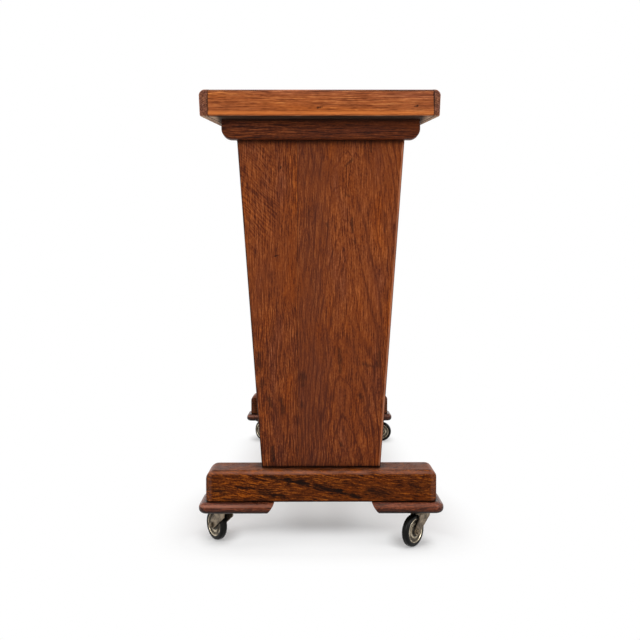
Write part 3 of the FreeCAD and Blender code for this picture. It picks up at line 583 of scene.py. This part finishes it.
def old_rubber(name, seed):
    """Black rubber gone grey in places, with dust and fine cracks."""
    g = Graph(name)
    cloud = g.noise(g.point, RUBBER_CLOUD_CELLS, detail=4.0, roughness=0.6, seed=seed)
    crack = g.noise(g.point, RUBBER_CRACK_CELLS, roughness=0.6, seed=seed + 1.0)
    grey = g.rise(g.sum(g.times(cloud, GREY_BY_CLOUD), g.times(crack, GREY_BY_CRACK)), *GREY_NOISE)
    g.set(Base_Color=g.mix(g.times(grey, GREY_SHARE), *RUBBER), Specular_IOR_Level=RUBBER_SHINE,
          Roughness=g.sum(RUBBER_GLOSS, g.times(grey, RUBBER_ROUGH_BY_GREY)))
    relief = g.sum(g.times(crack, RUBBER_RELIEF_BY_CRACK), cloud)
    g.bump(relief, RUBBER_RELIEF_STRENGTH, RUBBER_RELIEF_HEIGHT)
    return g.material


def paint(material, *names):
    """Give pieces of the frame one material."""
    for name in names:
        mesh = cad_nodes[name].data
        mesh.materials.clear()
        mesh.materials.append(material)


# Points this near to a level, in metres, count as on it
SAME_LEVEL = 0.001


def half_width(name, axis, level):
    """The largest X of a piece at the given level on axis Y or Z."""
    index = "XYZ".index(axis)
    points = [vertex.co for vertex in cad_nodes[name].data.vertices]
    return max(point.x for point in points if abs(point[index] - level) < SAME_LEVEL)


# Lines of the construction, from the frame; the cap's upper front edge is rounded by CAP_ROUND metres
CAP_ROUND = 0.005
foot_low, foot_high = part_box("right_foot")
pad_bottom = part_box("right_pad_front")[0].z
seam_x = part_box("right_end_board_wide")[0].x
cap_low, cap_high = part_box("right_cap")
cleat_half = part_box("right_cleat")[1].x
panel_low_half = half_width("right_end_board_wide", "Z", foot_high.z)
panel_high_half = half_width("right_end_board_wide", "Z", cap_low.z)
panel_slope = (panel_high_half - panel_low_half) / (cap_low.z - foot_high.z)
panel_start = panel_low_half - panel_slope * foot_high.z
cap_front_half = half_width("right_cap", "Y", cap_low.y + CAP_ROUND)
cap_back_half = half_width("right_cap", "Y", cap_high.y)
cap_slope = (cap_front_half - cap_back_half) / (cap_high.y - cap_low.y - CAP_ROUND)
cap_start = cap_back_half + cap_slope * cap_high.y

# Stains on the photographed end: start and end as (X, Z), size in metres, strength
FOOT_MARKS = (
    Mark((-0.095, 0.128), (-0.030, 0.115), 0.0061, 0.80),
    Mark((-0.058, 0.122), (-0.022, 0.114), 0.0081, 0.92),
    Mark((-0.010, 0.110), (0.031, 0.101), 0.0088, 0.95),
    Mark((0.031, 0.101), (0.065, 0.091), 0.0074, 0.95),
    Mark((0.084, 0.101), (0.114, 0.098), 0.0108, 0.75),
    Mark((0.158, 0.115), (0.170, 0.102), 0.0108, 0.57),
    Mark((-0.104, 0.100), (-0.084, 0.096), 0.0088, 0.80),
    Mark((-0.080, 0.095), (-0.064, 0.094), 0.0068, 0.80),
    Mark((-0.145, 0.108), (-0.116, 0.107), 0.0034, 0.86),
    Mark((-0.196, 0.106), (-0.168, 0.101), 0.0054, 0.69),
)
NARROW_MARKS = (
    Mark((-0.070, 0.661), (-0.069, 0.663), 0.0022, 0.90),
    Mark((-0.082, 0.508), (-0.072, 0.511), 0.0016, 0.80),
    Mark((-0.109, 0.340), (-0.108, 0.312), 0.0060, 0.55),
    Mark((-0.104, 0.290), (-0.104, 0.282), 0.0060, 0.50),
    Mark((-0.091, 0.260), (-0.088, 0.248), 0.0060, 0.50),
    Mark((-0.069, 0.258), (-0.067, 0.236), 0.0060, 0.50),
    Mark((-0.086, 0.174), (-0.084, 0.150), 0.0050, 0.70),
)
WIDE_MARKS = (
    Mark((0.043, 0.664), (0.054, 0.676), 0.0035, 0.60),
    Mark((0.043, 0.615), (0.049, 0.612), 0.0035, 0.50),
    Mark((0.054, 0.576), (0.055, 0.550), 0.0028, 0.60),
    Mark((0.058, 0.535), (0.058, 0.528), 0.0028, 0.60),
    Mark((0.010, 0.564), (0.012, 0.560), 0.0030, 0.60),
    Mark((0.086, 0.708), (0.087, 0.688), 0.0020, 0.60),
    Mark((-0.032, 0.302), (-0.031, 0.284), 0.0075, 0.55),
    Mark((-0.033, 0.252), (-0.032, 0.246), 0.0050, 0.55),
    Mark((0.033, 0.344), (0.033, 0.308), 0.0065, 0.45),
    Mark((0.074, 0.320), (0.090, 0.316), 0.0045, 0.50),
    Mark((0.101, 0.340), (0.100, 0.318), 0.0065, 0.45),
    Mark((0.066, 0.266), (0.070, 0.262), 0.0055, 0.50),
    Mark((0.034, 0.180), (0.038, 0.176), 0.0050, 0.55),
)
CAP_MARKS = (
    Mark((-0.005, 0.756), (0.002, 0.757), 0.0034, 0.9),
    Mark((0.157, 0.758), (0.163, 0.759), 0.0018, 0.9),
)
# The patch of ray flecks, and the heights between which the panels are soiled, in metres
RAY_PATCH = Patch(along=0.610, across=-0.108, half_along=0.105, half_across=0.046)
PANEL_SOIL = (0.16, 0.50)
# Places of the dull band, the worn lines and the painted highlights, in metres from the edge or joint that
# they follow
DULL_FROM_SEAM = 0.026
ARRIS_INSET = 0.0024
LIP_ABOVE_EDGE = 0.0060
FOOT_TOP_INSET = 0.0040
FOOT_END_INSET = 0.0070
PAD_TOP_INSET = 0.0055
# How strongly the top edges of the front and the back pads carry worn polish and a painted highlight
PAD_POLISH_AND_HIGHLIGHT = {"front": 0.66, "back": 0.22}


def paint_panel(end, sign, seed, marked):
    """The two boards of an end panel."""
    front_side = (-sign, 0, -panel_slope)
    back_side = (sign, 0, -panel_slope)
    seam = Edge(X_AXIS, sign * seam_x, width=0.0010, colour=GRIME_AND_SHADE, strength=0.30)
    beside_seam = Edge(X_AXIS, sign * (seam_x + DULL_FROM_SEAM), width=0.042, colour=DULL, strength=0.34)
    # Painted shade along the bottom of the panel, where it stands on the foot
    foot_shade_line = Edge(Z_AXIS, foot_high.z, width=0.0045, colour=GRIME_AND_SHADE, strength=0.95)
    front_outline = Edge(front_side, panel_start, width=0.0032, colour=GRIME_AND_SHADE, strength=0.75)
    back_outline = Edge(back_side, panel_start, width=0.0010, colour=GRIME_AND_SHADE, strength=0.60)
    # The worn back arris, lightened further by a painted highlight
    back_arris = Edge(back_side, panel_start - ARRIS_INSET, width=0.0019, colour=WORN_AND_HIGHLIGHT, strength=0.65)
    narrow = oak(end + "_narrow_oak", "ZXY", PANEL, seed, heart=(sign * -0.42, sign * -0.40),
                 drift=(0.03, 0.02), rings=220.0, contrast=0.9, soil=PANEL_SOIL,
                 rays=RAY_PATCH._replace(across=sign * RAY_PATCH.across),
                 marks=NARROW_MARKS if marked else (), edges=(seam, front_outline, foot_shade_line))
    paint(narrow, end + "_end_board_narrow")
    wide = oak(end + "_wide_oak", "ZXY", PANEL, seed + 2, heart=(sign * 0.055, sign * -0.455),
               drift=(0.0, sign * -0.085), rings=150.0, contrast=0.76, figure=0.45, soil=PANEL_SOIL,
               marks=WIDE_MARKS if marked else (),
               edges=(seam, beside_seam, back_arris, back_outline, foot_shade_line))
    paint(wide, end + "_end_board_wide")


def paint_top(end, sign, seed, marked):
    """The cap, its edge strips and the cleat below it."""
    joints = tuple(Edge((side, sign * cap_slope, 0), cap_start, width=0.0022, colour=GRIME_AND_SHADE, strength=0.85)
                   for side in (-1, 1))
    top_line = Edge(Z_AXIS, cap_high.z, width=0.0060, colour=GRIME_AND_SHADE, strength=0.80)
    # A painted highlight along the lip of the cap's front face
    lip_highlight = Edge(Z_AXIS, cap_low.z + LIP_ABOVE_EDGE, width=0.0034, colour=LIP_HIGHLIGHT, strength=0.80)
    # Painted shade along the cap's lower edge, over the cleat
    under_shade_line = Edge(Z_AXIS, cap_low.z, width=0.0022, colour=GRIME_AND_SHADE, strength=0.80)
    cap = oak(end + "_cap_oak", "XYZ", CAP, seed + 4, heart=(sign * -0.50, 0.66), drift=(0.02, 0.03),
              rings=320.0, stretch=0.4, contrast=0.95, streaks=0.10, bare_below=True, shaded=cleat_half,
              dust_and_top_light=0.3, marks=CAP_MARKS if marked else (), edges=joints + (top_line, lip_highlight, under_shade_line))
    paint(cap, end + "_cap")
    strip = oak(end + "_strip_oak", "YXZ", CAP, seed + 6, heart=(0.0, 0.72), drift=(0.1, 0.0), rings=400.0,
                end_tones=STRIP, slope=sign * cap_slope, mirrored=True, contrast=1.2, bare_below=True,
                shaded=cleat_half, edges=joints)
    paint(strip, end + "_cap_strips")
    cleat = oak(end + "_cleat_oak", "XZY", CLEAT, seed + 8, heart=(0.66, sign * -0.44), drift=(0.02, 0.04),
                rings=300.0, stretch=0.7, streaks=0.30)
    paint(cleat, end + "_cleat")


def paint_base(end, sign, seed, marked):
    """The foot and its two pads."""
    foot_edges = (
        # Worn polish and a painted highlight along the foot's top front edge and its ends
        Edge(Z_AXIS, foot_high.z - FOOT_TOP_INSET, width=0.0036, colour=POLISH_AND_HIGHLIGHT, strength=0.45),
        Edge(X_AXIS, foot_low.x + FOOT_END_INSET, width=0.0050, colour=POLISH_AND_HIGHLIGHT, strength=0.14),
        Edge(X_AXIS, foot_high.x - FOOT_END_INSET, width=0.0050, colour=POLISH_AND_HIGHLIGHT, strength=0.14),
        # Painted shade along the foot's bottom edge, in the groove over the pads
        Edge(Z_AXIS, foot_low.z, width=0.0040, colour=GRIME_AND_SHADE, strength=0.85),
    )
    foot = oak(end + "_foot_oak", "XZY", FOOT, seed + 10, heart=(0.05, sign * -0.47), drift=(0.0, 0.06),
               rings=180.0, slope=0.12, stretch=1.5, gloss=0.42, shine=0.05, figure=0.20, streaks=0.30,
               dust_and_top_light=0.20, shade_below=0.8, inner=sign, corner=0.028, marks=FOOT_MARKS if marked else (),
               edges=foot_edges)
    paint(foot, end + "_foot")
    for i, (side, polish_and_highlight) in enumerate(PAD_POLISH_AND_HIGHLIGHT.items()):
        pad_edges = (
            # Worn polish and a painted highlight along the pad's top edge
            Edge(Z_AXIS, foot_low.z - PAD_TOP_INSET, width=0.0032, colour=POLISH_AND_HIGHLIGHT, strength=polish_and_highlight),
            # Painted shade along the pad's bottom edge
            Edge(Z_AXIS, pad_bottom, width=0.0070, colour=GRIME_AND_SHADE, strength=0.95),
        )
        pad = oak(end + "_pad_" + side + "_oak", "XZY", PAD, seed + 12 + i, heart=(0.03, sign * -0.45),
                  drift=(0.03, 0.05), rings=200.0, contrast=1.3, gloss=0.30, shine=0.15, streaks=0.5,
                  shade_below=0.9, inner=sign, end_grain=0.6, edges=pad_edges)
        paint(pad, end + "_pad_" + side)


# The sign is 1 at the photographed end and -1 at the other, which is turned round and has no stains
for end, sign, seed, marked in (("right", 1.0, 1.0, True), ("left", -1.0, 40.0, False)):
    paint_panel(end, sign, seed, marked)
    paint_top(end, sign, seed, marked)
    paint_base(end, sign, seed, marked)

SIDE_BOARDS = ("front_board_lower", "front_board_middle", "front_board_upper", "back_board_lower",
               "back_board_upper", "back_stiles", "flap")
# How the side boards were cut, in turn: the heart above their middle and into the board, and its drift
BOARD_CUTS = ((0.03, 0.30, -0.06), (-0.03, -0.10, 0.05))
# Seeds of the first side board and the first rail, and the step to the next one
SIDE_SEED = 70.0
RAIL_SEED = 100.0
SEED_STEP = 3
for i, name in enumerate(SIDE_BOARDS):
    low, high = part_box(name)
    above, into, drift = BOARD_CUTS[i % len(BOARD_CUTS)]
    board = oak(name + "_oak", "YZX", SIDE, SIDE_SEED + SEED_STEP * i,
                heart=((low.z + high.z) / 2 + above, into), drift=(0.0, drift), rings=180.0, stretch=0.7,
                contrast=0.8, figure=0.25)
    paint(board, name)
for i, name in enumerate(("front_rail", "back_rail")):
    rail = oak(name + "_oak", "YXZ", CAP, RAIL_SEED + SEED_STEP * i, heart=(0.10, 0.70), drift=(0.01, 0.05),
               rings=280.0, stretch=0.55, bare_below=True, dust_and_top_light=0.3)
    paint(rail, name)
slat_oak = oak("slat_oak", "YXZ", SIDE, seed=110.0, heart=(0.0, 0.60), drift=(0.04, 0.03), rings=300.0,
               dust_and_top_light=0.3)
paint(slat_oak, "coin_slats")
inner_oak = oak("inner_oak", "YXZ", RAW, seed=120.0, heart=(0.0, 0.40), drift=(0.03, 0.05), rings=250.0,
                gloss=0.62, contrast=0.7)
paint(inner_oak, "bottom_board", "front_chute_board", "back_chute_board", "flap_stops", "bottom_bearers")

steel = aged_metal("aged_steel", STEEL, seed=3.0)
brass = aged_metal("aged_brass", BRASS, seed=5.0, gloss=0.34)
rubber = old_rubber("old_rubber", seed=8.0)
for name in cad_nodes:
    if name.endswith("_tyre"):
        paint(rubber, name)
    elif name.endswith("_wheel"):
        low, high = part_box(name)
        disc = aged_metal(name + "_steel", WHEEL_STEEL, seed=4.0, gloss=0.28, grime=0.8, corner=0.014,
                          dish=(low + high) / 2, reach=(high.z - low.z) / 2)
        paint(disc, name)
    elif name.startswith("caster_") or name == "lock_cam":
        paint(steel, name)
    elif name.startswith(("hinge_", "lock_")):
        paint(brass, name)

# The floor: size in metres, surface, paleness under the box, where white glow is painted over its shadow,
# and what is added in front of it and far off
FLOOR_SIZE = 40.0
FLOOR_GREY = (0.8, 0.8, 0.8, 1.0)
FLOOR_ROUGHNESS = 0.9
PALE_BELOW = 0.26
PALE_IN_FRONT = 0.42
PALE_FAR = 0.74
# The dark ground below the box: half its width at the front and what is taken off further back, half its
# length, how far it fades, and where the paler ground in front begins
GROUND_HALF_WIDTH = 0.165
GROUND_NARROWS = -0.065
GROUND_NARROWS_OVER = (-0.30, 0.10)
GROUND_HALF_LENGTH = 0.46
GROUND_FADE = (0.0, 0.16)
GROUND_FRONT = (0.375, 0.465)
# The shadow behind each tyre: its paleness and what is added outwards, its reach, how far back it lies, and
# how it is drawn out in length
TYRE_PALE = 0.30
TYRE_PALE_OUT = 0.70
TYRE_REACH = (0.014, 0.050)
TYRE_SHADOW_BACK = 0.030
TYRE_SHADOW_SCALE = 0.55
# Strength of the light from all round
AMBIENT = 0.24


def seen_rays(tree):
    """1 for rays from the camera, reflected or let through; 0 for those that only carry light."""
    path = tree.nodes.new("ShaderNodeLightPath")
    seen = path.outputs["Is Camera Ray"]
    for ray in ("Is Glossy Ray", "Is Transmission Ray"):
        either = tree.nodes.new("ShaderNodeMath")
        either.operation = "MAXIMUM"
        tree.links.new(seen, either.inputs[0])
        tree.links.new(path.outputs[ray], either.inputs[1])
        seen = either.outputs[0]
    return seen


def make_floor():
    """A white floor. The camera sees its shading under and beside the box, paled by white glow painted over
    the shadow, and plain white glow further off.
    """
    bpy.ops.mesh.primitive_plane_add(size=FLOOR_SIZE, location=(0, 0, 0))
    floor = bpy.context.object
    floor.name = "floor"
    g = Graph("floor_white")
    place = g.split(g.point)
    half = g.sum(GROUND_HALF_WIDTH, g.rise(place["Y"], *GROUND_NARROWS_OVER, to=GROUND_NARROWS))
    dx = g.math("MAXIMUM", g.math("SUBTRACT", g.size(place["X"]), half), 0.0)
    dy = g.math("MAXIMUM", g.sum(g.size(place["Y"]), -GROUND_HALF_LENGTH), 0.0)
    far = g.rise(g.length(dx, dy), *GROUND_FADE, to=PALE_FAR)
    front = g.rise(g.times(place["Y"], -1.0), *GROUND_FRONT, to=PALE_IN_FRONT)
    pale = g.sum(PALE_BELOW, g.math("MAXIMUM", front, far))
    for name in cad_nodes:
        if name.endswith("_tyre"):
            low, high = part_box(name)
            wx = g.sum(place["X"], -(low.x + high.x) / 2)
            wy = g.times(g.sum(place["Y"], -(low.y + high.y) / 2 - TYRE_SHADOW_BACK), TYRE_SHADOW_SCALE)
            out = g.rise(g.length(wx, wy), *TYRE_REACH, to=TYRE_PALE_OUT)
            pale = g.times(pale, g.sum(TYRE_PALE, out))
    g.set(Base_Color=FLOOR_GREY, Roughness=FLOOR_ROUGHNESS, Specular_IOR_Level=0.0)
    glow = g.add("ShaderNodeEmission")
    glow.inputs["Color"].default_value = WHITE
    blend = g.add("ShaderNodeMixShader")
    g.feed(blend.inputs[0], g.times(seen_rays(g.tree), pale))
    g.tree.links.new(g.shader.outputs[0], blend.inputs[1])
    g.tree.links.new(glow.outputs[0], blend.inputs[2])
    g.tree.links.new(blend.outputs[0], g.output.inputs["Surface"])
    floor.data.materials.append(g.material)


def make_world():
    """Weak light from all round, behind which the camera sees white."""
    world = bpy.data.worlds.new("studio")
    bpy.context.scene.world = world
    world.use_nodes = True
    tree = world.node_tree
    tree.nodes.clear()
    choose = tree.nodes.new("ShaderNodeMixShader")
    output = tree.nodes.new("ShaderNodeOutputWorld")
    tree.links.new(seen_rays(tree), choose.inputs[0])
    for socket, strength in zip(choose.inputs[1:], (AMBIENT, 1.0)):
        background = tree.nodes.new("ShaderNodeBackground")
        background.inputs["Color"].default_value = WHITE
        background.inputs["Strength"].default_value = strength
        tree.links.new(background.outputs[0], socket)
    tree.links.new(choose.outputs[0], output.inputs["Surface"])


def softbox(name, place, target, size, power):
    """A soft rectangular lamp that points at a target."""
    light = bpy.data.lights.new(name, "AREA")
    light.shape = "RECTANGLE"
    light.size, light.size_y = size
    light.energy = power
    lamp = bpy.data.objects.new(name, light)
    bpy.context.scene.collection.objects.link(lamp)
    lamp.location = place
    lamp.rotation_euler = (Vector(target) - Vector(place)).to_track_quat("-Z", "Y").to_euler()


# The photographer's place in metres, and turn, pitch and roll in degrees, found from the photo's outlines
CAMERA_PLACE = (-0.0078, -1.892, 0.4538)
CAMERA_TURN = -0.248
CAMERA_PITCH = -2.315
CAMERA_ROLL = -0.067
CAMERA_LENS = 45.0
CAMERA_SENSOR = 36.0
# A Blender camera looks down until it is turned up by this, in degrees
LEVEL = 90


def make_camera():
    """The camera of the photo."""
    camera = bpy.data.objects.new("camera", bpy.data.cameras.new("camera"))
    bpy.context.scene.collection.objects.link(camera)
    camera.data.sensor_width = CAMERA_SENSOR
    camera.data.lens = CAMERA_LENS
    turn = Matrix.Rotation(math.radians(CAMERA_TURN), 4, "Z")
    pitch = Matrix.Rotation(math.radians(LEVEL + CAMERA_PITCH), 4, "X")
    roll = Matrix.Rotation(math.radians(CAMERA_ROLL), 4, "Z")
    camera.matrix_world = Matrix.Translation(CAMERA_PLACE) @ turn @ pitch @ roll
    bpy.context.scene.camera = camera


make_floor()
make_world()
softbox("overhead", (0.0, -0.3, 3.0), (0.0, 0.0, 0.4), size=(3.0, 3.4), power=70.0)
softbox("front_left", (-2.6, -3.0, 2.4), (0.0, -0.4, 0.5), size=(1.8, 1.8), power=66.0)
softbox("front_right", (2.8, -2.8, 2.3), (0.0, -0.4, 0.5), size=(1.8, 1.8), power=70.0)
softbox("back_left", (-2.6, 2.8, 2.0), (0.0, 0.4, 0.4), size=(1.8, 1.8), power=40.0)
softbox("back_right", (2.6, 2.8, 2.0), (0.0, 0.4, 0.4), size=(1.8, 1.8), power=40.0)
make_camera()
bpy.context.scene.view_settings.view_transform = "Standard"
